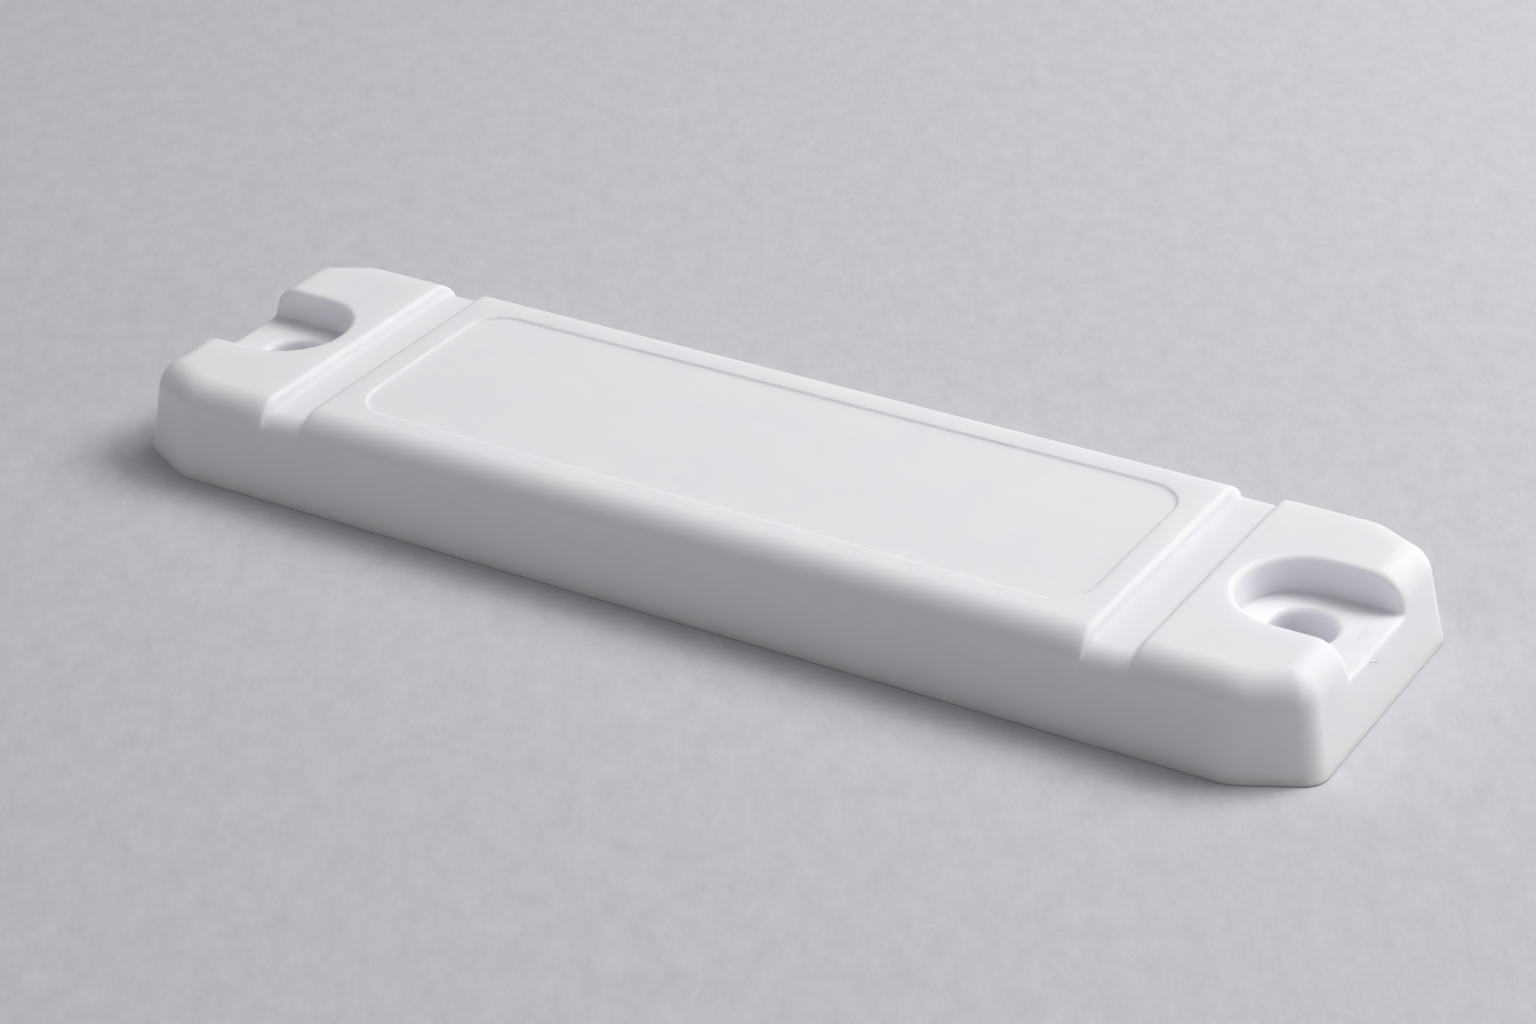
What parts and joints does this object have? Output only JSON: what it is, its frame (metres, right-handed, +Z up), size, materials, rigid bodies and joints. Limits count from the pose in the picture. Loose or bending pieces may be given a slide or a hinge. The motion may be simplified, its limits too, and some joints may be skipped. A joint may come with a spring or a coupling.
{
  "type": "screw-down rfid hard tag",
  "caption": "Slim moulded electronic tag with open screw slots at both ends, cable-tie grooves and a shallow label recess on top.",
  "frame": {"origin": "middle of the underside, on the surface that the tag is fixed to", "axes": "+X along the tag's length, +Y across it, +Z up out of the mounting surface"},
  "size_m": [0.1, 0.0272, 0.0076],
  "materials": {
    "cover_plastic": "satin white moulded plastic, faintly translucent",
    "plate_plastic": "fine-textured white moulded plastic",
    "bead_adhesive": "cured translucent bonding adhesive",
    "film_adhesive": "thin double-sided film",
    "board_laminate": "glass-epoxy laminate with visible weave",
    "copper": "etched copper, slightly tarnished",
    "solder": "dull solder",
    "terminal_tin": "tinned tabs",
    "chip_moulding": "black moulded package",
    "drop_resin": "dark round drop of resin",
    "foam": "closed-cell foam"
  },
  "bodies": {
    "root": {"top_cover": "cover_plastic", "base_plate": "plate_plastic", "seal_bead": "bead_adhesive", "board_film": "film_adhesive", "ground_copper": "copper", "board_core": "board_laminate", "plated_vias": "copper", "patch_copper": "copper", "feed_copper": "copper", "solder_joints": "solder", "chip_terminals": "terminal_tin", "chip_body": "chip_moulding", "foam_pad": "foam", "chip_drop": "drop_resin"}
  },
  "joints": []
}
